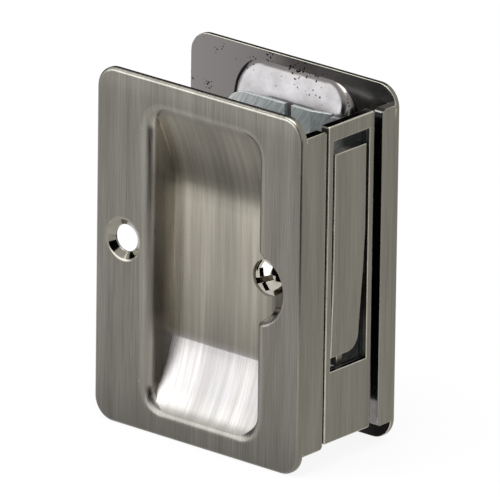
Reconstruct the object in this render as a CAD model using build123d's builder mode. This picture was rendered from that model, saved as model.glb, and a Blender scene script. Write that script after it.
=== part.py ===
from build123d import *
import math
import os

# Adjustable pocket door lock, passage pattern. Two scooped pulls clamp the door between
# them, one on each face, and a case in the door's edge carries the sprung edge pull.
# Millimetres. The origin is on the surface that the two plates stand on, below the middle
# of the whole. +X points out of the door's edge, -Y to the front and +Z up.

# Plates of the two pulls
plate_width = 57.15
plate_height = 80.0
plate_thickness = 1.6
plate_corner = 5.0
plate_edge_round = 0.8

# Flanges that cover the corners of the door's edge
flange_thickness = 2.3
flange_from_bottom = 4.6
flange_from_top = 4.0
flange_corner = 1.0
front_flange_depth = 8.0
rear_flange_depth = 6.0

# Scooped cup of each pull, measured in from the plate's edges
cup_from_left = 14.5
cup_from_right = 12.2
cup_from_bottom = 5.2
cup_from_top = 5.8
cup_corner = 6.0
cup_wall = 1.4
cup_draft = 12
lower_slope = 15.8
upper_slope = 18.1
slope_bulge = 0.9
floor_round = 3.5
rim_land = 0.2
rim_round = 3.0
back_rim_margin = 3.8
back_floor_margin = 0.9
back_floor_round = 10.0
back_round = 3.0
front_cup_gap = 0.7
rear_cup_gap = 0.6

# Clamping screw, and the scallop in the cup's side that makes room for its head
screw_from_right = 14.05
screw_above_middle = 0.4
screw_radius = 2.0
screw_clearance = 0.2
screw_tip_gap = 2.4
screw_head_radius = 4.1
screw_head_height = 2.6
screw_head_edge = 1.1
driver_slot_length = 5.0
driver_slot_width = 1.2
driver_slot_depth = 1.6
driver_slot_turn = 22
scallop_radius = 7.5
scallop_right_of_screw = 1.2
scallop_below_screw = 0.5
scallop_cusp_round = 1.2
boss_wall = 2.4

# Countersunk hole for the screw that fixes the plate to the door
door_hole_from_left = 7.8
door_hole_above_middle = 2.1
door_hole_radius = 3.0
door_sink_radius = 4.7
door_sink_angle = 108

# Faceplate in the door's edge
faceplate_from_bottom = 5.3
faceplate_from_top = 3.3
faceplate_thickness = 1.1
faceplate_overhang = 0.45
faceplate_corner = 0.5
faceplate_edge_round = 0.4
faceplate_front_gap = 0.65
faceplate_lip = 1.0
faceplate_nest = 0.05
window_from_bottom = 16.1
window_from_top = 3.6
window_inset = 0.2
window_edge_round = 0.2
stud_radius = 1.2
stud_spacing = 7.0
stud_below_window = 8.0
stud_head_radius = 1.9
stud_head_height = 0.6

# Case, a folded steel channel with its web behind the faceplate
sheet = 1.0
case_inside = 12.2
case_length = 39.55
case_inset = 3.7
case_corner = 6.0
bend_radius = 0.4
web_margin = 1.0

# Flap sprung out of each case wall, between two slots
flap_from_end = 18.7
flap_slot = 1.8
flap_slot_depth = 8.4
flap_flat = 5.3
flap_length = 5.0
flap_gap = 0.9
flap_angle = 15

# Edge pull and its pivot
lever_side_gap = 0.65
lever_bottom_gap = 2.6
lever_top_gap = 3.1
lever_recess = 0.1
lever_thickness = 2.2
lever_fall = 0.45
lever_fall_height = 18.0
lever_taper = 1.5
lever_taper_height = 26.3
lever_foot_radius = 3.5
lever_edge_round = 0.4
lever_bead_radius = 0.9
cheek_thickness = 1.6
cheek_eye_wall = 2.05
cheek_web_height = 14.0
cheek_web_below_pivot = 3.2
toe_thickness = 1.6
toe_width = 2.0
toe_from_cheek = 2.2
toe_rise = 4.0
toe_overlap = 0.5
toe_clearance = 0.05
pivot_behind_face = 7.15
pivot_above_foot = 10.0
pin_radius = 1.5
pin_clearance = 0.05
lever_swing = 40
stop_radius = 1.25
stop_arm = 9.0
washer_width = 1.25

# Torsion spring round the pivot pin
wire_radius = 0.3
coil_clearance = 0.15
coil_pitch = 0.75
coil_turns = 2
spring_touch = 0.03
spring_leg_below_pivot = 4.4
bushing_wall = 0.6

# Post that both clamping screws thread into, and the spacers of the case's far end
post_wall = 1.35
spigot_step = 0.6
spacer_radius = 2.4
spacer_spigot_radius = 1.6
spacer_from_end = 5.2
spacer_inset = 9.0

# Depths that follow, from the front pull's face to the rear pull's
case_outside = case_inside + 2 * sheet
front_seat = front_flange_depth + faceplate_front_gap + faceplate_overhang
cup_depth = front_seat - front_cup_gap - cup_wall
rear_seat = cup_depth + cup_wall + rear_cup_gap
closed_depth = front_seat + case_outside + rear_seat
screw_length = rear_seat - cup_depth + (case_outside - screw_tip_gap) / 2
half_depth = closed_depth / 2
front_y = -half_depth
case_y = front_y + front_seat + case_outside / 2

# Places that follow on the pulls
half_width = plate_width / 2
cup_width = plate_width - cup_from_left - cup_from_right
cup_height = plate_height - cup_from_bottom - cup_from_top
cup_middle_x = cup_from_left + cup_width / 2 - half_width
cup_middle_z = cup_from_bottom + cup_height / 2
flange_height = plate_height - flange_from_bottom - flange_from_top
screw_x = half_width - screw_from_right
screw_height = plate_height / 2 + screw_above_middle
scallop_x = screw_x + scallop_right_of_screw
scallop_z = screw_height - scallop_below_screw
cusp_x = half_width - cup_from_right - math.tan(math.radians(cup_draft)) * cup_depth / 2
cusp_y = front_y + cup_depth / 2
cusp_rise = math.sqrt(scallop_radius ** 2 - (cusp_x - scallop_x) ** 2)
boss_radius = screw_radius + screw_clearance + boss_wall
door_hole_height = plate_height / 2 + door_hole_above_middle

# Places that follow on the case and the faceplate
faceplate_width = case_outside + 2 * faceplate_overhang
faceplate_height = plate_height - faceplate_from_bottom - faceplate_from_top
faceplate_z = faceplate_from_bottom + faceplate_height / 2
web_outer_x = half_width - faceplate_thickness
web_inner_x = web_outer_x - sheet
web_height = faceplate_height - 2 * web_margin
case_end_x = web_outer_x - case_length
case_bottom = faceplate_from_bottom + case_inset
case_top = faceplate_from_bottom + faceplate_height - case_inset
window_width = case_inside - 2 * window_inset
window_bottom = faceplate_from_bottom + window_from_bottom
window_height = faceplate_height - window_from_bottom - window_from_top
window_z = window_bottom + window_height / 2
spacer_x = case_end_x + spacer_from_end
upper_spacer_z = case_top - spacer_inset
lower_spacer_z = case_bottom + spacer_inset

# Places that follow on the edge pull
lever_face_x = half_width - lever_recess
lever_back_x = lever_face_x - lever_thickness
lever_bottom = window_bottom + lever_bottom_gap
lever_top = window_bottom + window_height - lever_top_gap
lever_front_y = case_y - window_width / 2 + lever_side_gap
lever_rear_y = case_y + window_width / 2 - lever_side_gap
pivot_x = half_width - pivot_behind_face
pivot_height = lever_bottom + pivot_above_foot
pin_bore = pin_radius + pin_clearance
bushing_radius = pin_bore + bushing_wall
coil_radius = bushing_radius + coil_clearance + wire_radius
post_bore = screw_radius + pin_clearance
post_radius = post_bore + post_wall


def arc_middle(start, end, bulge):
    """Point halfway along an arc from start to end, standing off its chord by bulge."""
    chord = Vector(*end) - Vector(*start)
    across = Vector(-chord.Y, chord.X).normalized()
    middle = (Vector(*start) + Vector(*end)) * 0.5 + across * bulge
    return (middle.X, middle.Y)


def scoop_form(side_margin, rim_margin, floor_margin, start, depth, crease_round):
    """The cup's hollow, or with margins the casting round it, in the front pull's place."""
    low_rim = (front_y + start, cup_from_bottom - rim_margin)
    low_floor = (front_y + depth, cup_from_bottom + lower_slope - floor_margin)
    high_rim = (front_y + start, cup_from_bottom + cup_height + rim_margin)
    high_floor = (front_y + depth, cup_from_bottom + cup_height - upper_slope + floor_margin)
    mouth_y = front_y + start - plate_thickness / 2
    width = cup_width + 2 * side_margin
    height = cup_height + 2 * rim_margin
    with BuildPart() as form:
        with BuildSketch(Plane.YZ.offset(cup_middle_x - width / 2)):
            with BuildLine():
                ThreePointArc(low_rim, arc_middle(low_rim, low_floor, -slope_bulge), low_floor)
                Line(low_floor, high_floor)
                ThreePointArc(high_floor, arc_middle(high_floor, high_rim, -slope_bulge), high_rim)
                Polyline(high_rim, (mouth_y, high_rim[1]), (mouth_y, low_rim[1]), low_rim)
            make_face()
        extrude(amount=width)
        with BuildSketch(Plane.XZ.offset(-mouth_y)):
            with Locations((cup_middle_x, cup_middle_z)):
                RectangleRounded(width, height, cup_corner + side_margin)
        extrude(amount=mouth_y - front_y - depth, taper=cup_draft, mode=Mode.INTERSECT)
        fillet(form.faces().sort_by(Axis.Y)[-1].edges().filter_by(Axis.X), crease_round)
    return form.part


def pull_casting(flange_depth, seat_depth):
    """A pull in the front pull's place: plate, edge flange, scooped cup and screw boss."""
    hollow = scoop_form(0, 0, 0, rim_land, cup_depth, floor_round)
    with BuildPart() as backing:
        add(scoop_form(cup_wall, back_rim_margin, back_floor_margin, plate_thickness,
                       cup_depth + cup_wall, back_floor_round))
        mouth = backing.faces().sort_by(Axis.Y)[0].edges()
        fillet(backing.edges() - backing.edges().filter_by(Axis.X) - mouth, back_round)
    with BuildPart() as casting:
        with BuildSketch(Plane.XZ.offset(half_depth)):
            with Locations((0, plate_height / 2)):
                RectangleRounded(plate_width, plate_height, plate_corner)
        extrude(amount=-plate_thickness)
        fillet(casting.faces().sort_by(Axis.Y)[0].edges(), plate_edge_round)

        # Edge flange, rounded at its two free corners
        with BuildSketch(Plane.XZ.offset(half_depth - plate_thickness)):
            with Locations((half_width - flange_thickness / 2, flange_from_bottom + flange_height / 2)):
                Rectangle(flange_thickness, flange_height)
        extrude(amount=-(flange_depth - plate_thickness))
        fillet(casting.faces().sort_by(Axis.Y)[-1].edges().filter_by(Axis.X), flange_corner)

        # Back of the cup, with the scallop's wall and the screw's boss
        add(backing.part)
        with BuildSketch(Plane.XZ.offset(half_depth - plate_thickness)):
            with Locations((scallop_x, scallop_z)):
                Circle(scallop_radius + cup_wall)
        extrude(amount=-(cup_depth + cup_wall - plate_thickness))
        with BuildSketch(Plane.XZ.offset(half_depth - cup_depth)):
            with Locations((screw_x, screw_height)):
                Circle(boss_radius)
        extrude(amount=-(seat_depth - cup_depth))

        # Hollow of the cup, with its rim rolled over and the scallop beside it
        add(hollow, mode=Mode.SUBTRACT)
        fillet(casting.faces().sort_by(Axis.Y)[0].inner_wires()[0].edges(), rim_round)
        with BuildSketch(Plane.XZ.offset(half_depth)):
            with Locations((scallop_x, scallop_z)):
                Circle(scallop_radius)
        extrude(amount=-cup_depth, mode=Mode.SUBTRACT)
        cusps = [casting.edges().sort_by_distance((cusp_x, cusp_y, scallop_z - cusp_rise))[0],
                 casting.edges().sort_by_distance((cusp_x, cusp_y, scallop_z + cusp_rise))[0]]
        fillet(cusps, scallop_cusp_round)

        # Holes for the clamping screw and the door screw
        with BuildSketch(Plane.XZ.offset(half_depth)):
            with Locations((screw_x, screw_height)):
                Circle(screw_radius + screw_clearance)
        extrude(amount=-seat_depth, mode=Mode.SUBTRACT)
        with Locations(Plane(origin=(door_hole_from_left - half_width, front_y, door_hole_height),
                             x_dir=(1, 0, 0), z_dir=(0, -1, 0))):
            CounterSinkHole(door_hole_radius, door_sink_radius, plate_thickness, door_sink_angle)
    return casting.part


def clamping_screw():
    """Domed cross-head screw in the front pull's place, with its head on the cup's floor."""
    seat_y = front_y + cup_depth
    rim_y = seat_y - screw_head_edge
    crown_y = seat_y - screw_head_height
    turn = math.radians(driver_slot_turn)
    along_slot = (math.cos(turn), 0, math.sin(turn))
    across_slot = (-math.sin(turn), 0, math.cos(turn))
    with BuildPart() as screw:
        with BuildSketch(Plane(origin=(screw_x, 0, screw_height), x_dir=along_slot, z_dir=across_slot)):
            with BuildLine():
                Polyline((0, crown_y), (0, seat_y + screw_length), (screw_radius, seat_y + screw_length),
                         (screw_radius, seat_y), (screw_head_radius, seat_y), (screw_head_radius, rim_y))
                TangentArc((0, crown_y), (screw_head_radius, rim_y), tangent=(1, 0))
            make_face()
        revolve(axis=Axis((screw_x, 0, screw_height), (0, 1, 0)))
        with BuildSketch(Plane(origin=(screw_x, crown_y, screw_height), x_dir=along_slot, z_dir=(0, -1, 0))):
            Rectangle(driver_slot_length, driver_slot_width)
            Rectangle(driver_slot_width, driver_slot_length)
        extrude(amount=-driver_slot_depth, mode=Mode.SUBTRACT)
    return screw.part


def wall_to_wall(middle_radius, end_radius, x, z, bore_radius=0):
    """Round piece between the case walls, its ends let into them flush with their outsides."""
    with BuildPart() as piece:
        with BuildSketch(Plane.XZ.offset(case_outside / 2 - case_y)):
            with Locations((x, z)):
                Circle(end_radius)
        extrude(amount=-case_outside)
        with BuildSketch(Plane.XZ.offset(case_inside / 2 - case_y)):
            with Locations((x, z)):
                Circle(middle_radius)
        extrude(amount=-case_inside)
        if bore_radius:
            with BuildSketch(Plane.XZ.offset(case_outside / 2 - case_y)):
                with Locations((x, z)):
                    Circle(bore_radius)
            extrude(amount=-case_outside, mode=Mode.SUBTRACT)
    return piece.part


def ring(outer_radius, from_y, to_y):
    """Plain ring on the pivot pin."""
    with BuildPart() as washer:
        with BuildSketch(Plane.XZ.offset(-from_y)):
            with Locations((pivot_x, pivot_height)):
                Circle(outer_radius)
                Circle(pin_bore, mode=Mode.SUBTRACT)
        extrude(amount=-(to_y - from_y))
    return washer.part


# Pulls
with BuildPart() as front_pull:
    add(pull_casting(front_flange_depth, front_seat))

with BuildPart() as rear_pull:
    add(pull_casting(rear_flange_depth, rear_seat))
    mirror(about=Plane.XZ, mode=Mode.REPLACE)

# Clamping screws
with BuildPart() as front_screw:
    add(clamping_screw())

with BuildPart() as rear_screw:
    add(clamping_screw())
    mirror(about=Plane.XZ, mode=Mode.REPLACE)

# Stop pin, where the toe of the edge pull meets it at the end of the swing
swing = math.radians(lever_swing)
toe_back = web_inner_x - toe_clearance - toe_thickness - pivot_x
touch_x = pivot_x + toe_back * math.cos(swing) - stop_arm * math.sin(swing)
touch_z = pivot_height - toe_back * math.sin(swing) - stop_arm * math.cos(swing)
stop_x = touch_x - (stop_radius + pin_clearance) * math.cos(swing)
stop_z = touch_z + (stop_radius + pin_clearance) * math.sin(swing)

with BuildPart() as stop_pin:
    add(wall_to_wall(stop_radius, stop_radius, stop_x, stop_z))

with BuildPart() as pivot_pin:
    add(wall_to_wall(pin_radius, pin_radius, pivot_x, pivot_height))

with BuildPart() as screw_post:
    add(wall_to_wall(post_radius, post_radius - spigot_step, screw_x, screw_height, post_bore))

with BuildPart() as upper_spacer:
    add(wall_to_wall(spacer_radius, spacer_spigot_radius, spacer_x, upper_spacer_z))

with BuildPart() as lower_spacer:
    add(wall_to_wall(spacer_radius, spacer_spigot_radius, spacer_x, lower_spacer_z))

# Case channel
flap_start_x = case_end_x + flap_from_end
flap_bend_x = flap_start_x + flap_flat
flap_end_x = flap_bend_x + flap_length * math.cos(math.radians(flap_angle)) + flap_gap
stud_z = window_bottom - stud_below_window

with BuildPart() as case_channel:
    with BuildSketch(Plane.XY.offset(faceplate_z - web_height / 2)):
        with BuildLine():
            outline = FilletPolyline((case_end_x, case_y - case_outside / 2),
                                     (web_outer_x, case_y - case_outside / 2),
                                     (web_outer_x, case_y + case_outside / 2),
                                     (case_end_x, case_y + case_outside / 2),
                                     radius=bend_radius + sheet)
            Line(outline @ 1, outline @ 0)
        make_face()
        with BuildLine():
            inline = FilletPolyline((case_end_x, case_y - case_inside / 2),
                                    (web_inner_x, case_y - case_inside / 2),
                                    (web_inner_x, case_y + case_inside / 2),
                                    (case_end_x, case_y + case_inside / 2),
                                    radius=bend_radius)
            Line(inline @ 1, inline @ 0)
        make_face(mode=Mode.SUBTRACT)
    extrude(amount=web_height)

    # Walls, shorter than the web and rounded at their far corners
    with BuildSketch(Plane.XZ.offset(case_outside / 2 - case_y)):
        with Locations((case_end_x, case_top)):
            Rectangle(case_length - sheet, web_height, align=Align.MIN)
        with Locations((case_end_x, case_bottom)):
            Rectangle(case_length - sheet, web_height, align=(Align.MIN, Align.MAX))
    extrude(amount=-case_outside, mode=Mode.SUBTRACT)
    fillet(case_channel.edges().filter_by(Axis.Y).group_by(Axis.X)[0], case_corner)

    # Window in the web, and the holes for the faceplate's studs
    with BuildSketch(Plane.YZ.offset(web_inner_x)):
        with Locations((case_y, window_z)):
            Rectangle(window_width, window_height)
        with Locations((case_y - stud_spacing / 2, stud_z), (case_y + stud_spacing / 2, stud_z)):
            Circle(stud_radius + pin_clearance)
    extrude(amount=sheet, mode=Mode.SUBTRACT)

    # Holes in both walls
    with BuildSketch(Plane.XZ.offset(case_outside / 2 - case_y)):
        with Locations((pivot_x, pivot_height)):
            Circle(pin_radius)
        with Locations((stop_x, stop_z)):
            Circle(stop_radius)
        with Locations((screw_x, screw_height)):
            Circle(post_radius - spigot_step)
        with Locations((spacer_x, upper_spacer_z), (spacer_x, lower_spacer_z)):
            Circle(spacer_spigot_radius)
        with Locations((flap_start_x - flap_slot / 2, case_top - flap_slot_depth / 2)):
            Rectangle(flap_slot, flap_slot_depth)
        with Locations(((flap_bend_x + flap_end_x) / 2, case_top - flap_slot_depth / 2)):
            Rectangle(flap_end_x - flap_bend_x, flap_slot_depth)
    extrude(amount=-case_outside, mode=Mode.SUBTRACT)

    # The part of each flap that is bent outwards
    for side in (-1, 1):
        along = Vector(math.cos(math.radians(flap_angle)), side * math.sin(math.radians(flap_angle)))
        across = Vector(-along.Y, along.X) * side
        root = Vector(flap_bend_x, case_y + side * case_inside / 2)
        with BuildSketch(Plane.XY.offset(case_top - flap_slot_depth + flap_gap)):
            with BuildLine():
                Polyline(root, root + along * flap_length, root + along * flap_length + across * sheet,
                         root + across * sheet, (flap_bend_x, case_y + side * case_outside / 2),
                         close=True)
            make_face()
        extrude(amount=flap_slot_depth - flap_gap)

# Faceplate, nested over the web and peened to it by two studs
with BuildPart() as faceplate:
    with BuildSketch(Plane.YZ.offset(web_outer_x - faceplate_lip)):
        with Locations((case_y, faceplate_z)):
            RectangleRounded(faceplate_width, faceplate_height, faceplate_corner)
    extrude(amount=faceplate_lip + faceplate_thickness)
    fillet(faceplate.faces().sort_by(Axis.X)[-1].edges(), faceplate_edge_round)
    with BuildSketch(Plane.YZ.offset(web_outer_x)):
        with Locations((case_y, faceplate_z)):
            Rectangle(case_outside + 2 * faceplate_nest, web_height + 2 * faceplate_nest)
    extrude(amount=-faceplate_lip, mode=Mode.SUBTRACT)
    with BuildSketch(Plane.YZ.offset(web_outer_x)):
        with Locations((case_y, window_z)):
            Rectangle(window_width, window_height)
    extrude(amount=faceplate_thickness, mode=Mode.SUBTRACT)
    fillet(faceplate.faces().sort_by(Axis.X)[-1].inner_wires()[0].edges(), window_edge_round)
    with BuildSketch(Plane.YZ.offset(web_outer_x)):
        with Locations((case_y - stud_spacing / 2, stud_z), (case_y + stud_spacing / 2, stud_z)):
            Circle(stud_radius)
    extrude(amount=-sheet)
    with BuildSketch(Plane.YZ.offset(web_inner_x)):
        with Locations((case_y - stud_spacing / 2, stud_z), (case_y + stud_spacing / 2, stud_z)):
            Circle(stud_head_radius)
    extrude(amount=-stud_head_height)

# Edge pull
cheek_rear_y = lever_rear_y - lever_taper - pin_clearance
cheek_web_z = pivot_height - cheek_web_below_pivot + cheek_web_height / 2

with BuildPart() as edge_pull:
    # Side view: flat face that falls away to the foot, and a bead behind the top
    with BuildSketch(Plane.XZ.offset(-lever_front_y)):
        with BuildLine():
            Polyline((lever_face_x - lever_fall, lever_bottom),
                     (lever_face_x, lever_bottom + lever_fall_height),
                     (lever_face_x, lever_top), (lever_back_x, lever_top),
                     (lever_back_x, lever_bottom), close=True)
        make_face()
        with Locations((lever_back_x, lever_top - lever_bead_radius)):
            Circle(lever_bead_radius)
    extrude(amount=-(lever_rear_y - lever_front_y))

    # Front view: straight towards the front pull, tapered and rounded on the other side
    with BuildSketch(Plane.YZ.offset(lever_back_x - lever_thickness)) as front_view:
        with BuildLine():
            Polyline((lever_front_y, lever_bottom), (lever_rear_y - lever_taper, lever_bottom),
                     (lever_rear_y, lever_bottom + lever_taper_height), (lever_rear_y, lever_top),
                     (lever_front_y, lever_top), close=True)
        make_face()
        foot = front_view.vertices().group_by(Axis.Y)[0].sort_by(Axis.X)[-1]
        fillet(foot, lever_foot_radius)
    extrude(amount=2 * lever_thickness, mode=Mode.INTERSECT)
    fillet(edge_pull.faces().filter_by(GeomType.PLANE).sort_by(Axis.X)[-1].edges().filter_by(Axis.Z),
           lever_edge_round)

    # Two cheeks with the pivot's eyes
    for cheek_y in (lever_front_y, cheek_rear_y - cheek_thickness):
        with BuildSketch(Plane.XZ.offset(-cheek_y)):
            with Locations((pivot_x, pivot_height)):
                Circle(pin_bore + cheek_eye_wall)
            with Locations((lever_back_x, cheek_web_z)):
                Rectangle(sheet, cheek_web_height)
            make_hull()
        extrude(amount=-cheek_thickness)
    with BuildSketch(Plane.XZ.offset(-lever_front_y)):
        with Locations((pivot_x, pivot_height)):
            Circle(pin_bore)
    extrude(amount=-(lever_rear_y - lever_front_y), mode=Mode.SUBTRACT)

    # Toe that hooks behind the window's sill and keeps the face flush
    with BuildSketch(Plane.XZ.offset(-(lever_front_y + cheek_thickness + toe_from_cheek))):
        with Locations((web_inner_x - toe_clearance, window_bottom - toe_overlap)):
            Rectangle(toe_thickness, lever_bottom + toe_rise - window_bottom + toe_overlap,
                      align=(Align.MAX, Align.MIN))
    extrude(amount=-toe_width)

# Rings that hold the edge pull in the middle, and the sleeve inside the spring
with BuildPart() as front_washer:
    add(ring(pin_bore + washer_width, case_y - case_inside / 2, lever_front_y - pin_clearance))

with BuildPart() as rear_washer:
    add(ring(pin_bore + washer_width, cheek_rear_y + pin_clearance, case_y + case_inside / 2))

with BuildPart() as spring_bushing:
    add(ring(bushing_radius, lever_front_y + cheek_thickness + pin_clearance,
             cheek_rear_y - cheek_thickness - pin_clearance))

# Return spring: a coil round the pivot, one leg on the stop pin and one behind the edge pull
pivot = Vector(pivot_x, pivot_height)
stop = Vector(stop_x, stop_z)
lever_leg_end = Vector(lever_back_x - wire_radius - spring_touch, pivot_height - spring_leg_below_pivot)


def coil_normal(target, target_radius, turn):
    """Unit normal of the straight wire that leaves the coil and passes the target."""
    apart = pivot - target
    angle = math.atan2(apart.Y, apart.X)
    lean = math.acos((coil_radius + target_radius) / apart.length)
    return Vector(math.cos(angle + turn * lean), math.sin(angle + turn * lean))


stop_reach = stop_radius + wire_radius + spring_touch
stop_normal = coil_normal(stop, stop_reach, -1)
lever_normal = coil_normal(lever_leg_end, 0, 1)
stop_leg_root = pivot - stop_normal * coil_radius
stop_leg_end = stop + stop_normal * stop_reach
lever_leg_root = pivot - lever_normal * coil_radius
root_angle = math.atan2(-lever_normal.Y, -lever_normal.X)
leave_angle = math.atan2(-stop_normal.Y, -stop_normal.X)
coil_sweep = coil_turns + ((leave_angle - root_angle) % (2 * math.pi)) / (2 * math.pi)
coil_width = coil_sweep * coil_pitch
coil_start_y = (lever_front_y + cheek_rear_y + coil_width) / 2
coil_end_y = coil_start_y - coil_width

coil_plane = Plane(origin=(pivot_x, coil_start_y, pivot_height),
                   x_dir=(-lever_normal.X, 0, -lever_normal.Y), z_dir=(0, -1, 0))
coil = coil_plane * Helix(coil_pitch, coil_width, coil_radius)
lever_leg = (lever_leg_end - lever_leg_root).length
stop_leg = (stop_leg_end - stop_leg_root).length + wire_radius

with BuildPart() as return_spring:
    with BuildLine() as wire:
        Line(coil @ 0 - coil % 0 * lever_leg, coil @ 0)
        add(coil)
        Line(coil @ 1, coil @ 1 + coil % 1 * stop_leg)
    with BuildSketch(Plane(origin=wire.line @ 0, z_dir=wire.line % 0)):
        Circle(wire_radius)
    sweep(path=wire.line)

# Every piece in its own file
front_pull.part.label = "front_pull"
rear_pull.part.label = "rear_pull"
front_screw.part.label = "front_screw"
rear_screw.part.label = "rear_screw"
faceplate.part.label = "faceplate"
case_channel.part.label = "case_channel"
edge_pull.part.label = "edge_pull"
pivot_pin.part.label = "pivot_pin"
stop_pin.part.label = "stop_pin"
return_spring.part.label = "return_spring"
spring_bushing.part.label = "spring_bushing"
front_washer.part.label = "front_washer"
rear_washer.part.label = "rear_washer"
screw_post.part.label = "screw_post"
upper_spacer.part.label = "upper_spacer"
lower_spacer.part.label = "lower_spacer"

os.makedirs("parts", exist_ok=True)
export_step(front_pull.part, "parts/front_pull.step")
export_step(rear_pull.part, "parts/rear_pull.step")
export_step(front_screw.part, "parts/front_screw.step")
export_step(rear_screw.part, "parts/rear_screw.step")
export_step(faceplate.part, "parts/faceplate.step")
export_step(case_channel.part, "parts/case_channel.step")
export_step(edge_pull.part, "parts/edge_pull.step")
export_step(pivot_pin.part, "parts/pivot_pin.step")
export_step(stop_pin.part, "parts/stop_pin.step")
export_step(return_spring.part, "parts/return_spring.step")
export_step(spring_bushing.part, "parts/spring_bushing.step")
export_step(front_washer.part, "parts/front_washer.step")
export_step(rear_washer.part, "parts/rear_washer.step")
export_step(screw_post.part, "parts/screw_post.step")
export_step(upper_spacer.part, "parts/upper_spacer.step")
export_step(lower_spacer.part, "parts/lower_spacer.step")
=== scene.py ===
import math
import bpy
import bmesh
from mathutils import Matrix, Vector
from mathutils.bvhtree import BVHTree
from mathutils.geometry import barycentric_transform


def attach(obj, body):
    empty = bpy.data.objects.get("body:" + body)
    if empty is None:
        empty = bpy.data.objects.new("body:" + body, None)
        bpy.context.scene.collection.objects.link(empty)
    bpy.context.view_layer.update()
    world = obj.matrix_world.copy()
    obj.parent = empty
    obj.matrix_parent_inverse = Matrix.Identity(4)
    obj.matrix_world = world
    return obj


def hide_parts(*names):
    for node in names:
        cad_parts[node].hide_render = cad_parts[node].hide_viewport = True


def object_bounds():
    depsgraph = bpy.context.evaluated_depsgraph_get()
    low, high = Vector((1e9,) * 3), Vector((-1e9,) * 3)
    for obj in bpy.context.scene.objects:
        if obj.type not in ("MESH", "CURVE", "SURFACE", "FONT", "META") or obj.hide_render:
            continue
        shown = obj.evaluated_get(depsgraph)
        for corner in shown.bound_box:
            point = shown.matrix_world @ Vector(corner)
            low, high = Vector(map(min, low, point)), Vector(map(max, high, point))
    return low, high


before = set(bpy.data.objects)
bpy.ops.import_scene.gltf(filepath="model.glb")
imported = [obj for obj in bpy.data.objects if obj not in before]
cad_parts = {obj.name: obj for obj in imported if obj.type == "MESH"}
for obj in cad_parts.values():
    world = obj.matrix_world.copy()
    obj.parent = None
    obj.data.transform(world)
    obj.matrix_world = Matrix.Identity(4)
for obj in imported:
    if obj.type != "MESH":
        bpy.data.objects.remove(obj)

# Pocket door lock: two scooped pulls, faceplate, edge pull and the folded case between them
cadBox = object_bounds()
mm = 0.001
halfDepth = (cadBox[1][1] - cadBox[0][1]) / 2
print("frame loaded", cadBox)


def deselectAll():
    for ob in bpy.context.selected_objects:
        ob.select_set(False)


def makeActive(ob):
    deselectAll()
    ob.select_set(True)
    bpy.context.view_layer.objects.active = ob


def linear(hexColor):  # sRGB hex to Blender's linear colour
    parts = [int(hexColor[i:i + 2], 16) / 255 for i in (1, 3, 5)]
    return [(c / 12.92 if c <= 0.04045 else ((c + 0.055) / 1.055) ** 2.4) for c in parts] + [1.0]


def addNode(owner, kind, links=None, values=None, stops=None, **settings):
    # one node: links and values go by an input's name or number,
    # stops are a ramp's places with a hex colour, a level, or a level for each of red, green and blue
    node = owner.node_tree.nodes.new(kind)
    for name, value in settings.items():
        setattr(node, name, value)
    for name, value in (values or {}).items():
        node.inputs[name].default_value = value
    for name, source in (links or {}).items():
        owner.node_tree.links.new(source, node.inputs[name])
    if stops:
        while len(node.color_ramp.elements) < len(stops):
            node.color_ramp.elements.new(0.5)
        for element, (place, tone) in zip(node.color_ramp.elements, stops):
            element.position = place
            levels = tone if isinstance(tone, tuple) else (tone, tone, tone)
            element.color = linear(tone) if isinstance(tone, str) else (*levels, 1.0)
    return node


def newMaterial(name):
    mat = bpy.data.materials.new(name)
    mat.use_nodes = True
    mat.node_tree.nodes.clear()
    return mat


def levelsAlong(mat, source, places, spanMm):
    # levels read off a table of places in millimetres, straight between them
    low, high = spanMm
    along = addNode(mat, "ShaderNodeMapRange", {"Value": source},
                    {"From Min": low * mm, "From Max": high * mm})
    stops = [((at - low) / (high - low), level) for at, level in places]
    return addNode(mat, "ShaderNodeValToRGB", {0: along.outputs[0]}, stops=stops).outputs[0]


def depthBelowFace(mat, axes):
    # how far a point lies below the outer face of its pull, the same for the front and the rear one
    fromMiddle = addNode(mat, "ShaderNodeMath", {0: axes.outputs[1]}, operation="ABSOLUTE")
    depth = addNode(mat, "ShaderNodeMath", {1: fromMiddle.outputs[0]}, {0: halfDepth},
                    operation="SUBTRACT")
    return depth.outputs[0]


def brushLines(mat, look, place):
    # Noise squeezed across the brush lines and drawn out along them, once fine and once in broad bands.
    # Real lines are some hundredths of a millimetre apart, and lineMm draws them coarser so that they show
    noises = []
    for across, along, detail, roughness in (("lineMm", "lineLengthMm", 4.0, 0.65),
                                             ("bandMm", "bandLengthMm", 3.0, 0.55)):
        perAxis = [1 / (look[along if axis in look["along"] else across] * mm) for axis in "xyz"]
        squeeze = addNode(mat, "ShaderNodeMapping", {"Vector": place}, {"Scale": perAxis})
        noise = addNode(mat, "ShaderNodeTexNoise", {"Vector": squeeze.outputs[0]},
                        {"Scale": 1.0, "Detail": detail, "Roughness": roughness})
        noises.append(noise.outputs[0])
    mixed = addNode(mat, "ShaderNodeMix", {2: noises[0], 3: noises[1]}, {0: look["bandShare"]})
    return noises[0], mixed.outputs[0]


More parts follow.
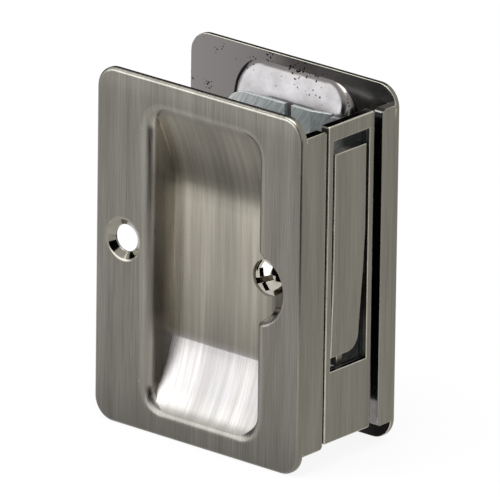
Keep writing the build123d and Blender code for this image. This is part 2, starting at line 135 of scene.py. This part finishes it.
def brushedShader(mat, look, lines, color):
    noiseSpread = (0.3, 0.7)  # nearly all of the noise lies between these
    rough = addNode(mat, "ShaderNodeMapRange", {"Value": lines},
                    {"From Min": noiseSpread[0], "From Max": noiseSpread[1],
                     "To Min": look["roughness"][0], "To Max": look["roughness"][1]})
    bump = addNode(mat, "ShaderNodeBump", {"Height": lines},
                   {"Strength": look["bump"], "Distance": look["grooveMm"] * mm})
    across = addNode(mat, "ShaderNodeCombineXYZ", values=dict(enumerate(look["across"])))
    shader = addNode(mat, "ShaderNodeBsdfPrincipled",
                     {"Base Color": color, "Roughness": rough.outputs[0],
                      "Normal": bump.outputs[0], "Tangent": across.outputs[0]},
                     {"Metallic": 1.0, "Anisotropic": look["spread"]})
    addNode(mat, "ShaderNodeOutputMaterial", {"Surface": shader.outputs[0]})


# Antique nickel is nickel plate darkened to warm grey, then brushed upright until the metal shows
# through. The brush lines spread a reflection in the direction called across. The tables of levels
# multiply the tones by height, by place across the plate, or by depth below the pull's face: they are
# painted light and shade, and on the rolled rim wear as well
sideLook = {"along": "z", "lineMm": 0.22, "lineLengthMm": 12,
            "bandMm": 2.5, "bandLengthMm": 50, "bandShare": 0.4,
            "tones": [(0.35, "#68655a"), (0.5, "#77746a"), (0.65, "#858177")],
            "roughness": (0.26, 0.38), "bump": 0.2, "grooveMm": 0.02,
            "across": (0.02, 1, 0.03), "spread": 0.7}
# the levels by depth: the rolled rim is lighter than the flat faces, partly worn and partly a painted
# highlight
plateLook = {"along": "yz", "lineMm": 0.22, "lineLengthMm": 14,
             "bandMm": 3.0, "bandLengthMm": 60, "bandShare": 0.35,
             "tones": [(0.35, "#6c6962"), (0.5, "#7b7871"), (0.65, "#89867e")],
             "roughness": (0.24, 0.36), "bump": 0.2, "grooveMm": 0.02,
             "across": (1, 0.02, 0.03), "spread": 0.7,
             "rimWearAndHighlightMm": [(0.0, 1.0), (0.05, 1.25), (0.3, 1.35), (0.6, 1.2), (1.0, 1.0)],
             # the levels by height: painted shade low down towards the floor, and a painted highlight along
             # the top
             "heightMm": [(0.0, 0.68), (2.0, 0.74), (5.0, 0.8), (10.0, 0.92), (20.0, 1.0), (30.0, 1.04),
                          (62.0, 1.04), (71.0, 1.0), (75.0, 1.06), (78.0, 1.28), (80.0, 1.3)]}
# The cup's tones are lighter than the plate's. Its tables paint light and shade: shade in the upper crease
# and above the lower one, a cool painted highlight on the lower slope, lighter and darker bands across the
# cup, and shade on the upright walls that changes with height. heightMm and acrossMm hold for the cup's
# slopes and floor, wallHeightMm for its upright walls, wallMm says how much of a wall there is, and rimMm
# is the depth over which the plate's finish ends
scoopLook = {"along": "yz", "lineMm": 0.25, "lineLengthMm": 18,
             "bandMm": 1.6, "bandLengthMm": 40, "bandShare": 0.55,
             "tones": [(0.36, "#908b80"), (0.5, "#9d988d"), (0.64, "#aba79c")],
             "rimMm": (0.4, 2.0),
             "heightMm": [(5.0, (1.35, 1.36, 1.5)), (8.0, (1.08, 1.09, 1.22)),
                          (11.0, (0.94, 0.95, 1.08)), (20.5, (0.92, 0.93, 1.06)),
                          (22.5, 0.74), (24.6, 0.8), (30.3, 0.94), (37.0, 1.08), (44.0, 1.15),
                          (49.0, 1.25), (52.0, 1.3), (54.3, 1.1), (55.9, 0.72), (57.0, 0.54),
                          (58.5, 0.43), (61.0, 0.43), (66.5, 0.6), (73.0, 0.72)],
             "wallHeightMm": [(20.0, 0.8), (27.0, 0.34), (33.0, 0.34), (40.0, 0.5),
                              (48.0, 0.8), (58.0, 0.8), (63.0, 1.1), (68.0, 1.2)],
             "acrossMm": [(-12.4, 1.3), (-9.0, 1.22), (-5.0, 1.03), (-1.0, 0.88), (3.0, 0.84),
                          (6.0, 0.95), (9.0, 1.08), (12.0, 0.9), (14.0, 0.75)],
             "wallMm": [(-13.1, 1.0), (-12.4, 0.0), (14.6, 0.0), (16.2, 1.0)]}
# the spans in millimetres that the tables of levels are read over
heightSpan = (0, 80)
acrossSpan = (-20, 20)
rimWearAndHighlightSpan = (0, 2)


def brushedMetal(name, look):
    mat = newMaterial(name)
    place = addNode(mat, "ShaderNodeTexCoord").outputs["Object"]
    lines, mixed = brushLines(mat, look, place)
    tint = addNode(mat, "ShaderNodeValToRGB", {0: mixed}, stops=look["tones"])
    brushedShader(mat, look, lines, tint.outputs[0])
    return mat


def brushedPullMetal(name, plate, scoop):
    # The plate's finish passes into the cup's over the rolled rim, by the depth below the pull's face
    mat = newMaterial(name)
    place = addNode(mat, "ShaderNodeTexCoord").outputs["Object"]
    axes = addNode(mat, "ShaderNodeSeparateXYZ", {0: place})
    lines, plateMixed = brushLines(mat, plate, place)
    scoopMixed = brushLines(mat, scoop, place)[1]
    plateTint = addNode(mat, "ShaderNodeValToRGB", {0: plateMixed}, stops=plate["tones"])
    scoopTint = addNode(mat, "ShaderNodeValToRGB", {0: scoopMixed}, stops=scoop["tones"])
    depth = depthBelowFace(mat, axes)
    inCup = addNode(mat, "ShaderNodeMapRange", {"Value": depth},
                    {"From Min": scoop["rimMm"][0] * mm, "From Max": scoop["rimMm"][1] * mm},
                    interpolation_type="SMOOTHSTEP")
    # the levels below paint light and shade on the plate and in the cup, and on the rim wear as well
    upPlate = levelsAlong(mat, axes.outputs[2], plate["heightMm"], heightSpan)
    flat = addNode(mat, "ShaderNodeVectorMath", {0: plateTint.outputs[0], 1: upPlate},
                   operation="MULTIPLY")
    upFloor = levelsAlong(mat, axes.outputs[2], scoop["heightMm"], heightSpan)
    upWall = levelsAlong(mat, axes.outputs[2], scoop["wallHeightMm"], heightSpan)
    isWall = levelsAlong(mat, axes.outputs[0], scoop["wallMm"], acrossSpan)
    across = levelsAlong(mat, axes.outputs[0], scoop["acrossMm"], acrossSpan)
    rimWearAndHighlight = levelsAlong(mat, depth, plate["rimWearAndHighlightMm"], rimWearAndHighlightSpan)
    up = addNode(mat, "ShaderNodeMix", {0: isWall, 6: upFloor, 7: upWall}, data_type="RGBA")
    level = addNode(mat, "ShaderNodeVectorMath", {0: up.outputs[2], 1: across}, operation="MULTIPLY")
    cup = addNode(mat, "ShaderNodeVectorMath", {0: scoopTint.outputs[0], 1: level.outputs[0]},
                  operation="MULTIPLY")
    whole = addNode(mat, "ShaderNodeMix", {0: inCup.outputs[0], 6: flat.outputs[0], 7: cup.outputs[0]},
                    data_type="RGBA")
    color = addNode(mat, "ShaderNodeVectorMath", {0: whole.outputs[2], 1: rimWearAndHighlight},
                    operation="MULTIPLY")
    brushedShader(mat, plate, lines, color.outputs[0])
    return mat


# plateTones and footTones run across the plate from its far edge to its flange, footMm says at what
# height the first take over from the second, and backDepthMm at what depth the cup's back begins.
# Both paint shade that deepens towards the flange, footTones nearly black as a painted shadow at the foot
castLook = {"plateTones": [(0.0, "#848080"), (0.35, "#787473"), (0.55, "#827d7b"),
                           (0.75, "#7a7573"), (0.93, "#696563")],
            "footTones": [(0.0, "#848080"), (0.6, "#6a6665"), (0.85, "#2b2827"), (0.93, "#171414")],
            "footMm": [(5.0, 0.0), (14.0, 1.0)],
            "backTones": [(0.3, "#6e6b6a"), (0.7, "#878484")], "backDepthMm": (1.8, 3.0),
            "mottleMm": 5, "unevenMm": 0.06, "bump": 0.3, "roughness": 0.2,
            "pitSpacingMm": 0.8, "pitFieldMm": 4, "pitField": (0.45, 0.75),
            "pitSize": 0.34, "pitTone": "#141110"}


def castMetal(name, look):
    # As cast and plated: glossy and softly uneven, with small dark pits, and painted shade that deepens
    # towards the flange and its foot
    mat = newMaterial(name)
    place = addNode(mat, "ShaderNodeTexCoord").outputs["Object"]
    axes = addNode(mat, "ShaderNodeSeparateXYZ", {0: place})
    across = addNode(mat, "ShaderNodeMapRange", {"Value": axes.outputs[0]},
                     {"From Min": cadBox[0][0], "From Max": cadBox[1][0]})
    plain = addNode(mat, "ShaderNodeValToRGB", {0: across.outputs[0]}, stops=look["plateTones"])
    foot = addNode(mat, "ShaderNodeValToRGB", {0: across.outputs[0]}, stops=look["footTones"])
    aboveFoot = levelsAlong(mat, axes.outputs[2], look["footMm"], heightSpan)
    flat = addNode(mat, "ShaderNodeMix", {0: aboveFoot, 6: foot.outputs[0], 7: plain.outputs[0]},
                   data_type="RGBA")
    mottle = addNode(mat, "ShaderNodeTexNoise", {"Vector": place},
                     {"Scale": 1 / (look["mottleMm"] * mm), "Detail": 3.0})
    back = addNode(mat, "ShaderNodeValToRGB", {0: mottle.outputs[0]}, stops=look["backTones"])
    onBack = addNode(mat, "ShaderNodeMapRange", {"Value": depthBelowFace(mat, axes)},
                     {"From Min": look["backDepthMm"][0] * mm, "From Max": look["backDepthMm"][1] * mm})
    tint = addNode(mat, "ShaderNodeMix", {0: onBack.outputs[0], 6: flat.outputs[2], 7: back.outputs[0]},
                   data_type="RGBA")
    pits = addNode(mat, "ShaderNodeTexVoronoi", {"Vector": place},
                   {"Scale": 1 / (look["pitSpacingMm"] * mm)})
    field = addNode(mat, "ShaderNodeTexNoise", {"Vector": place},
                    {"Scale": 1 / (look["pitFieldMm"] * mm), "Detail": 1.0})
    size = addNode(mat, "ShaderNodeMapRange", {"Value": field.outputs[0]},
                   {"From Min": look["pitField"][0], "From Max": look["pitField"][1],
                    "To Max": look["pitSize"]})
    pitted = addNode(mat, "ShaderNodeMath", {0: pits.outputs["Distance"], 1: size.outputs[0]},
                     operation="LESS_THAN")
    dark = addNode(mat, "ShaderNodeMix", {0: pitted.outputs[0], 6: tint.outputs[2]},
                   {7: linear(look["pitTone"])}, data_type="RGBA")
    bump = addNode(mat, "ShaderNodeBump", {"Height": mottle.outputs[0]},
                   {"Strength": look["bump"], "Distance": look["unevenMm"] * mm})
    shader = addNode(mat, "ShaderNodeBsdfPrincipled",
                     {"Base Color": dark.outputs[2], "Normal": bump.outputs[0]},
                     {"Metallic": 1.0, "Roughness": look["roughness"]})
    addNode(mat, "ShaderNodeOutputMaterial", {"Surface": shader.outputs[0]})
    return mat


# markMm draws the file marks coarser than the real ones so that they show. darkMm is the stretch before
# the window, in x, over which painted shade darkens the sheet to darkTone, as the inside of the case is dim
zincLook = {"slantDeg": 35, "markMm": 0.3, "markLengthMm": 5, "grooveMm": 0.02,
            "tones": [(0.35, "#c6cccd"), (0.5, "#dbe0df"), (0.65, "#eef0ee")],
            "darkMm": (15.5, 21.5), "darkTone": 0.12, "bump": 0.3, "roughness": 0.5}


def zincSheet(name, look):
    # Blue-passivated zinc: pale, matt and a little blue, with slanting file marks and painted shade towards
    # the window
    mat = newMaterial(name)
    place = addNode(mat, "ShaderNodeTexCoord").outputs["Object"]
    slant = addNode(mat, "ShaderNodeMapping", {"Vector": place},
                    {"Rotation": (0, math.radians(look["slantDeg"]), 0),
                     "Scale": (look["markMm"] * mm, look["markMm"] * mm, look["markLengthMm"] * mm)},
                    vector_type="TEXTURE")
    marks = addNode(mat, "ShaderNodeTexNoise", {"Vector": slant.outputs[0]},
                    {"Scale": 1.0, "Detail": 3.0})
    tint = addNode(mat, "ShaderNodeValToRGB", {0: marks.outputs[0]}, stops=look["tones"])
    axes = addNode(mat, "ShaderNodeSeparateXYZ", {0: place})
    level = addNode(mat, "ShaderNodeMapRange", {"Value": axes.outputs[0]},
                    {"From Min": look["darkMm"][0] * mm, "From Max": look["darkMm"][1] * mm,
                     "To Min": 1.0, "To Max": look["darkTone"]})
    color = addNode(mat, "ShaderNodeVectorMath", {0: tint.outputs[0], 1: level.outputs[0]},
                    operation="MULTIPLY")
    bump = addNode(mat, "ShaderNodeBump", {"Height": marks.outputs[0]},
                   {"Strength": look["bump"], "Distance": look["grooveMm"] * mm})
    shader = addNode(mat, "ShaderNodeBsdfPrincipled",
                     {"Base Color": color.outputs[0], "Normal": bump.outputs[0]},
                     {"Metallic": 1.0, "Roughness": look["roughness"]})
    addNode(mat, "ShaderNodeOutputMaterial", {"Surface": shader.outputs[0]})
    return mat


screwLook = {"rubMm": 1.5, "tones": [(0.3, "#aca79d"), (0.7, "#c2bdb3")], "roughness": (0.05, 0.12)}
recessShadeLook = {"rubMm": 0.8, "tones": [(0.3, "#3a342b"), (0.7, "#5d5447")], "roughness": (0.3, 0.5)}
edgeWearAndHighlightLook = {"rubMm": 3.0, "tones": [(0.3, "#aaa699"), (0.7, "#c4c0b4")], "roughness": (0.2, 0.35)}
sinkLook = {"rubMm": 2.5, "tones": [(0.3, "#7f7b71"), (0.7, "#959187")], "roughness": (0.06, 0.14)}
patinaAndReflectionLook = {"rubMm": 2.0, "tones": [(0.3, "#26231e"), (0.7, "#3d3932")], "roughness": (0.12, 0.25)}
steelLook = {"rubMm": 2.0, "tones": [(0.3, "#8b8d90"), (0.7, "#b1b3b5")], "roughness": (0.2, 0.35)}
wireLook = {"rubMm": 1.0, "tones": [(0.3, "#55565a"), (0.7, "#77787c")], "roughness": (0.25, 0.4)}


def smoothMetal(name, look):
    # Plated, turned or drawn metal, with faint rubbed patches in its tone and gloss
    mat = newMaterial(name)
    place = addNode(mat, "ShaderNodeTexCoord").outputs["Object"]
    rub = addNode(mat, "ShaderNodeTexNoise", {"Vector": place},
                  {"Scale": 1 / (look["rubMm"] * mm), "Detail": 4.0})
    tint = addNode(mat, "ShaderNodeValToRGB", {0: rub.outputs[0]}, stops=look["tones"])
    rough = addNode(mat, "ShaderNodeMapRange", {"Value": rub.outputs[0]},
                    {"To Min": look["roughness"][0], "To Max": look["roughness"][1]})
    shader = addNode(mat, "ShaderNodeBsdfPrincipled",
                     {"Base Color": tint.outputs[0], "Roughness": rough.outputs[0]}, {"Metallic": 1.0})
    addNode(mat, "ShaderNodeOutputMaterial", {"Surface": shader.outputs[0]})
    return mat


pullNickel = brushedPullMetal("brushedAntiqueNickelPull", plateLook, scoopLook)
sideNickel = brushedMetal("brushedAntiqueNickelSide", sideLook)
castNickel = castMetal("asCastNickelPaintedShade", castLook)
edgeWearAndHighlightNickel = smoothMetal("edgeWearAndPaintedHighlight", edgeWearAndHighlightLook)  # bright thin lines where the edges wore, and a painted highlight along them
sinkNickel = smoothMetal("turnedNickelSink", sinkLook)  # cut after brushing, then plated: nearly a mirror
patinaAndDarkReflectionNickel = smoothMetal("patinaAndPaintedDarkReflection", patinaAndReflectionLook)  # nearly black: patina in the scallop's foot and a painted dark reflection, there and on faces that look up or down
zincPlate = zincSheet("zincPlatedSheet", zincLook)
nickelScrew = smoothMetal("brightNickelScrew", screwLook)  # polished head: a mirror of the room
recessShadeNickel = smoothMetal("screwRecessPaintedShade", recessShadeLook)  # painted shade in the driver recess and on the head's rim
turnedSteel = smoothMetal("turnedSteel", steelLook)  # plain cold grey, oiled and softly glossy
springWire = smoothMetal("drawnSpringWire", wireLook)  # darker and duller than turned steel
print("materials made")


# How a copy's triangles are joined, and where its corners look for the CAD's own normals
meshCleaning = {"mergeMm": 0.0005, "flatDeg": 0.02, "smoothDeg": 60, "nearMm": 0.005, "sliverMm2": 1e-6}


def keepCadNormals(piece, source):
    # Every corner on the CAD surface takes the CAD's own normal there, so long chords don't show
    cad = source.data
    points = [vert.co.copy() for vert in cad.vertices]
    corners = [tuple(poly.vertices) for poly in cad.polygons]
    tree = BVHTree.FromPolygons(points, corners)
    normals = [corner.vector.copy() for corner in piece.data.corner_normals]
    for poly in piece.data.polygons:
        for loop in poly.loop_indices:
            place = piece.data.vertices[piece.data.loops[loop].vertex_index].co
            closest = -1
            for at, facing, index, distance in tree.find_nearest_range(place, meshCleaning["nearMm"] * mm):
                face = cad.polygons[index]
                likeness = facing.dot(poly.normal)
                if likeness > closest and face.area > meshCleaning["sliverMm2"] * mm * mm:
                    closest = likeness
                    ends = [points[corner] for corner in corners[index]]
                    own = [cad.corner_normals[other].vector for other in face.loop_indices]
                    normals[loop] = barycentric_transform(at, *ends, *own).normalized()
    piece.data.normals_split_custom_set(normals)


def roundEdges(piece, name, rounding):
    # rounds the chosen edges of a piece by a bevel of their own
    cage = bmesh.new()
    cage.from_mesh(piece.data)
    share = cage.edges.layers.float.new(name)
    for edge in cage.edges:
        if len(edge.link_faces) == 2 and rounding["edges"](edge):
            edge[share] = 1.0
    cage.to_mesh(piece.data)
    cage.free()
    bevel = piece.modifiers.new(name, "BEVEL")
    bevel.limit_method = "WEIGHT"
    bevel.edge_weight = name
    bevel.width = rounding["widthMm"] * mm
    bevel.segments = rounding["segments"]
    bevel.material = rounding["finish"]
    bevel.use_clamp_overlap = False
    bpy.ops.object.modifier_apply(modifier=name)


def dressNode(nodeName, body, roundings, finishes):
    # The node's own shape with its triangles joined and its edges rounded, riding on the node's body
    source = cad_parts[nodeName]
    piece = bpy.data.objects.new(nodeName + "Dressed", source.data.copy())
    bpy.context.scene.collection.objects.link(piece)
    piece.data.materials.clear()
    for mat in finishes:
        piece.data.materials.append(mat)
    makeActive(piece)
    bpy.ops.object.mode_set(mode="EDIT")
    bpy.ops.mesh.select_all(action="SELECT")
    bpy.ops.mesh.customdata_custom_splitnormals_clear()
    bpy.ops.mesh.remove_doubles(threshold=meshCleaning["mergeMm"] * mm)
    bpy.ops.mesh.dissolve_limited(angle_limit=math.radians(meshCleaning["flatDeg"]))
    bpy.ops.object.mode_set(mode="OBJECT")
    for name, rounding in roundings.items():
        roundEdges(piece, name, rounding)
    bpy.ops.object.shade_smooth_by_angle(angle=math.radians(meshCleaning["smoothDeg"]))
    keepCadNormals(piece, source)
    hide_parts(nodeName)
    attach(piece, body)
    return piece


def sharpOuter(widthMm, edgeDeg):
    # chooses convex edges sharper than edgeDeg that are long enough for a rounding at both their ends
    leastLength = 2.2 * widthMm * mm
    leastBend = math.radians(edgeDeg)

    def chosen(edge):
        return edge.is_convex and edge.calc_length() > leastLength and edge.calc_face_angle(0) > leastBend
    return chosen


def onCircle(middle, radiusMm, depthMm, convex):
    # chooses the edges of a pull that lie on a circle round (x, z) at one depth below the pull's face
    nearMm = 0.05
    leastBend = math.radians(20)

    def chosen(edge):
        if edge.is_convex != convex or edge.calc_face_angle(0) < leastBend:
            return False
        ends = [(math.hypot(v.co.x / mm - middle[0], v.co.z / mm - middle[1]),
                 (halfDepth - abs(v.co.y)) / mm) for v in edge.verts]
        return all(abs(away - radiusMm) < nearMm and abs(depth - depthMm) < nearMm for away, depth in ends)
    return chosen


def brokenEdges(widthMm, edgeDeg, finish):
    # sharp outer edges are broken to widthMm and take a finish of their own
    return {"widthMm": widthMm, "segments": 2, "finish": finish, "edges": sharpOuter(widthMm, edgeDeg)}


pullFinishes = {"brushed": pullNickel, "side": sideNickel, "cast": castNickel,
                "sink": sinkNickel, "wornAndHighlit": edgeWearAndHighlightNickel, "dark": patinaAndDarkReflectionNickel}
pullFinishAt = {name: index for index, name in enumerate(pullFinishes)}
# Places are x and z in millimetres, depths are below the pull's face, and scallopFootMm is a radius and
# a depth. Reaches go a little past the edges that they reach to. Each lean is the least or the most
# of a face's unit normal in one direction
pullDress = {"plateMm": 1.6, "plateReachMm": 1.61,
             "flangeX": 26.2, "flangeEndX": 26.1, "flangeDepthMm": 0.3,
             "cupX": (-14.8, 23.6), "cupZ": (4.4, 75.0), "cupDepthMm": 7.05,
             "hole": (-20.775, 42.1), "holeEdgeMm": 4.7, "holeReachMm": 4.75,
             "scallop": (15.725, 39.9), "scallopFootMm": (7.5, 7.0), "scallopReachMm": 7.6,
             "flangeEndLean": 0.7, "sinkLean": 0.99, "scallopWallLean": 0.9, "scallopFootLean": 0.6,
             "flangeLean": 0.3, "plateLean": -0.5, "cupLean": -0.05}
pullRoundings = {
    # the scallop's foot takes the dark finish: patina in the hollow and a painted dark reflection
    "scallopFoot": {"widthMm": 1.5, "segments": 5, "finish": pullFinishAt["dark"],
                    "edges": onCircle(pullDress["scallop"], *pullDress["scallopFootMm"], False)},
    "sinkRim": {"widthMm": 0.35, "segments": 3, "finish": pullFinishAt["sink"],
                "edges": onCircle(pullDress["hole"], pullDress["holeEdgeMm"], 0.0, True)},
    # broken edges: bright from wear and a painted highlight
    "broken": brokenEdges(0.14, 40, pullFinishAt["wornAndHighlit"])}


def pullFinish(poly, side):
    # the finish of a pull's face goes by where the face lies and which way it looks;
    # side is -1 for the front pull and 1 for the rear one
    look = pullDress
    x, y, z = [c / mm for c in poly.center]
    depth = halfDepth / mm - y * side
    outward = poly.normal.y * side
    fromHole = math.hypot(x - look["hole"][0], z - look["hole"][1])
    fromScallop = math.hypot(x - look["scallop"][0], z - look["scallop"][1])
    overCup = look["cupX"][0] < x < look["cupX"][1] and look["cupZ"][0] < z < look["cupZ"][1]
    inCupDepth = depth < look["cupDepthMm"]
    # the flange's ends above and below: a painted dark reflection
    if x > look["flangeEndX"] and depth > look["plateMm"] and abs(poly.normal.z) > look["flangeEndLean"]:
        return "dark"
    if fromHole < look["holeReachMm"] and outward < look["sinkLean"]:
        return "sink"
    if fromScallop < look["scallopReachMm"] and abs(outward) < look["scallopWallLean"] and inCupDepth:
        # faces in the scallop that look up: patina and a painted dark reflection
        return "dark" if poly.normal.z > look["scallopFootLean"] else "sink"
    if x > look["flangeX"] and poly.normal.x > look["flangeLean"] and depth > look["flangeDepthMm"]:
        return "side"
    if depth < look["plateReachMm"] and outward > look["plateLean"]:
        return "brushed"
    if overCup and inCupDepth and outward > look["cupLean"]:
        return "brushed"
    return "cast"


for nodeName, body, side in (("front_pull", "front", -1), ("rear_pull", "rear", 1)):
    pull = dressNode(nodeName, body, pullRoundings, pullFinishes.values())
    for poly in pull.data.polygons:
        if not poly.material_index:  # a rounding has its finish already
            poly.material_index = pullFinishAt[pullFinish(poly, side)]
print("pulls dressed")

# Faceplate and edge pull. Of the finishes, 1 is the dark one, a painted dark reflection on their ends above
# and below, and 2 the bright one, a painted highlight where a face turns into the front and, with wear,
# along the broken edges
coverDress = {"finishes": (sideNickel, patinaAndDarkReflectionNickel, edgeWearAndHighlightNickel), "endLean": 0.7, "turnLean": (0.3, 0.97),
              "roundings": {"broken": brokenEdges(0.2, 40, 2)}}
for nodeName, body in (("faceplate", "case"), ("edge_pull", "lever")):
    cover = dressNode(nodeName, body, coverDress["roundings"], coverDress["finishes"])
    leastTurn, mostTurn = coverDress["turnLean"]
    for poly in cover.data.polygons:
        facing = poly.normal
        if poly.material_index == 0 and facing.x < leastTurn and abs(facing.z) > coverDress["endLean"]:
            poly.material_index = 1
        elif poly.material_index == 0 and leastTurn < facing.x < mostTurn:
            poly.material_index = 2
sheetRoundings = {"broken": brokenEdges(0.1, 60, 0)}  # punched edges, plated like the rest
dressNode("case_channel", "case", sheetRoundings, [zincPlate])
for nodeName in ("pivot_pin", "stop_pin", "spring_bushing", "front_washer", "rear_washer",
                 "screw_post", "upper_spacer", "lower_spacer"):
    dressNode(nodeName, "case", {}, [turnedSteel])
dressNode("return_spring", "case", {}, [springWire])
print("case dressed")

# Screws. Of the finishes, 0 is the dark one, painted shade in the recess and on the head's rim, and 1 the
# bright one.
# Heights are above the cup's floor
screwDress = {"finishes": (recessShadeNickel, nickelScrew), "roundings": {"broken": brokenEdges(0.08, 50, 1)},
              "axis": (14.525, 40.4), "floorMm": 9.15, "recessMm": 2.7, "recessFromMm": 0.8,
              "recessFloorMm": 1.3, "recessLean": 0.4, "rimFromMm": 3.9, "rimLean": 0.3}
for nodeName, body in (("front_screw", "front_clamp"), ("rear_screw", "rear_clamp")):
    look = screwDress
    screw = dressNode(nodeName, body, look["roundings"], look["finishes"])
    for poly in screw.data.polygons:
        fromAxis = math.hypot(poly.center.x / mm - look["axis"][0], poly.center.z / mm - look["axis"][1])
        height = abs(poly.center.y) / mm - look["floorMm"]
        facing = abs(poly.normal.y)
        recessFace = facing < look["recessLean"] or height < look["recessFloorMm"]
        inRecess = fromAxis < look["recessMm"] and look["recessFromMm"] < height and recessFace
        onRim = look["rimFromMm"] < fromAxis and facing < look["rimLean"]
        poly.material_index = 0 if (inRecess or onRim) and not poly.material_index else 1
print("screws dressed")

# White paper under the object: it looks evenly lit, and still takes the object's shadow
studioLook = {"floorHalf": 3.0, "floorGapMm": 0.02, "paper": "#f4f4f4", "paperGlow": 0.9,
              "skyLight": 0.8, "skySeen": 1.0}
deselectAll()
bpy.ops.mesh.primitive_plane_add(size=2 * studioLook["floorHalf"],
                                 location=(0, 0, cadBox[0][2] - studioLook["floorGapMm"] * mm))
floor = bpy.context.object
floor.name = "studioFloor"
paper = newMaterial("whitePaper")


def seenRays(owner):  # 1 for camera, glossy and transmission rays
    rays = addNode(owner, "ShaderNodeLightPath")
    seen = addNode(owner, "ShaderNodeMath",
                   {0: rays.outputs["Is Camera Ray"], 1: rays.outputs["Is Glossy Ray"]},
                   operation="MAXIMUM")
    either = addNode(owner, "ShaderNodeMath",
                     {0: seen.outputs[0], 1: rays.outputs["Is Transmission Ray"]}, operation="MAXIMUM")
    return either.outputs[0]


share = addNode(paper, "ShaderNodeMath", {0: seenRays(paper)}, {1: studioLook["paperGlow"]},
                operation="MULTIPLY")
matte = addNode(paper, "ShaderNodeBsdfDiffuse", values={"Color": linear(studioLook["paper"])})
glow = addNode(paper, "ShaderNodeEmission", values={"Color": (1, 1, 1, 1), "Strength": 1.0})
blend = addNode(paper, "ShaderNodeMixShader",
                {0: share.outputs[0], 1: matte.outputs[0], 2: glow.outputs[0]})
addNode(paper, "ShaderNodeOutputMaterial", {"Surface": blend.outputs[0]})
floor.data.materials.append(paper)

# The room is white, and lights the object a little less than it looks
world = bpy.context.scene.world or bpy.data.worlds.new("studio")
bpy.context.scene.world = world
world.use_nodes = True
world.node_tree.nodes.clear()
skies = [addNode(world, "ShaderNodeBackground", values={"Color": (1, 1, 1, 1), "Strength": strength})
         for strength in (studioLook["skyLight"], studioLook["skySeen"])]
sky = addNode(world, "ShaderNodeMixShader",
              {0: seenRays(world), 1: skies[0].outputs[0], 2: skies[1].outputs[0]})
addNode(world, "ShaderNodeOutputWorld", {"Surface": sky.outputs[0]})

# Softboxes, in metres and watts, stand off from the object's middle and are turned towards it
middle = Vector((0, 0, (cadBox[0][2] + cadBox[1][2]) / 2))
softboxes = {"keyLeft": {"from": (-0.481, -0.832, 0.276), "distance": 0.9, "size": (0.75, 0.6),
                         "watts": 3.9, "tint": (0.92, 0.96, 1.0)},
             "overhead": {"from": (0.0, -0.2, 1.0), "distance": 0.9, "size": (0.6, 0.4),
                          "watts": 4.0, "tint": (1.0, 1.0, 1.0)}}
for name, look in softboxes.items():
    lamp = bpy.data.lights.new(name, "AREA")
    lamp.shape = "RECTANGLE"
    lamp.size, lamp.size_y = look["size"]
    lamp.energy = look["watts"]
    lamp.color = look["tint"]
    holder = bpy.data.objects.new(name, lamp)
    bpy.context.scene.collection.objects.link(holder)
    away = Vector(look["from"]).normalized()
    holder.location = middle + away * look["distance"]
    holder.rotation_euler = (-away).to_track_quat("-Z", "Y").to_euler()
    holder.visible_camera = False

# Black flags that only reflections see, in metres: they stand for the dark side of the room, behind and
# to the left, and for the dark gap between the lamps in front
flagTone = "#070707"
flags = {"flagBehind": {"at": (-0.34, 0.46, 0.34), "size": (0.9, 0.68), "turnDeg": (90, 0, 38)},
         "flagNear": {"at": (0.084, -0.096, 0.036), "size": (0.105, 0.07), "turnDeg": (90, 0, 52)},
         "flagFront": {"at": (0.1, -0.256, 0.175), "size": (0.22, 0.24), "turnDeg": (90, 0, 21)},
         "flagLeft": {"at": (-0.39, -0.04, 0.11), "size": (0.26, 0.24), "turnDeg": (90, 0, 85)}}
flagCloth = newMaterial("blackFlag")
dull = addNode(flagCloth, "ShaderNodeBsdfDiffuse", values={"Color": linear(flagTone)})
addNode(flagCloth, "ShaderNodeOutputMaterial", {"Surface": dull.outputs[0]})
for name, look in flags.items():
    deselectAll()
    bpy.ops.mesh.primitive_plane_add(size=1, location=look["at"],
                                     rotation=[math.radians(a) for a in look["turnDeg"]])
    flag = bpy.context.object
    flag.name = name
    flag.scale = (*look["size"], 1)
    flag.data.materials.append(flagCloth)
    flag.visible_camera = False
    flag.visible_diffuse = False
    flag.visible_shadow = False

# Solved from the photograph's straight edges, with lengths in metres unless a name says otherwise
cameraPlace = {"azimuthDeg": 40.108, "elevationDeg": 19.8, "rollDeg": 0.783, "distance": 2.845,
               "fieldWidth": 0.1064, "aimRight": 0.000758, "aimUp": 0.000400,
               "sensorMm": 36, "clip": (0.05, 20)}
azimuth = math.radians(cameraPlace["azimuthDeg"])
elevation = math.radians(cameraPlace["elevationDeg"])
roll = math.radians(cameraPlace["rollDeg"])
back = Vector((math.sin(azimuth) * math.cos(elevation), -math.cos(azimuth) * math.cos(elevation),
               math.sin(elevation)))
right = Vector((0, 0, 1)).cross(back).normalized()
up = back.cross(right)
camRight = right * math.cos(roll) + up * math.sin(roll)
camUp = up * math.cos(roll) - right * math.sin(roll)
aim = middle + camRight * cameraPlace["aimRight"] + camUp * cameraPlace["aimUp"]
cameraData = bpy.data.cameras.new("photoCamera")
cameraData.sensor_width = cameraPlace["sensorMm"]
cameraData.lens = cameraPlace["sensorMm"] / 2 / (cameraPlace["fieldWidth"] / 2 / cameraPlace["distance"])
cameraData.clip_start, cameraData.clip_end = cameraPlace["clip"]
camera = bpy.data.objects.new("photoCamera", cameraData)
bpy.context.scene.collection.objects.link(camera)
stand = aim + back * cameraPlace["distance"]
turn = camera.matrix_world.copy()
for row in range(3):
    turn[row][:] = camRight[row], camUp[row], back[row], stand[row]
camera.matrix_world = turn
bpy.context.scene.camera = camera
bpy.context.scene.view_settings.view_transform = "Standard"
print("stage set")
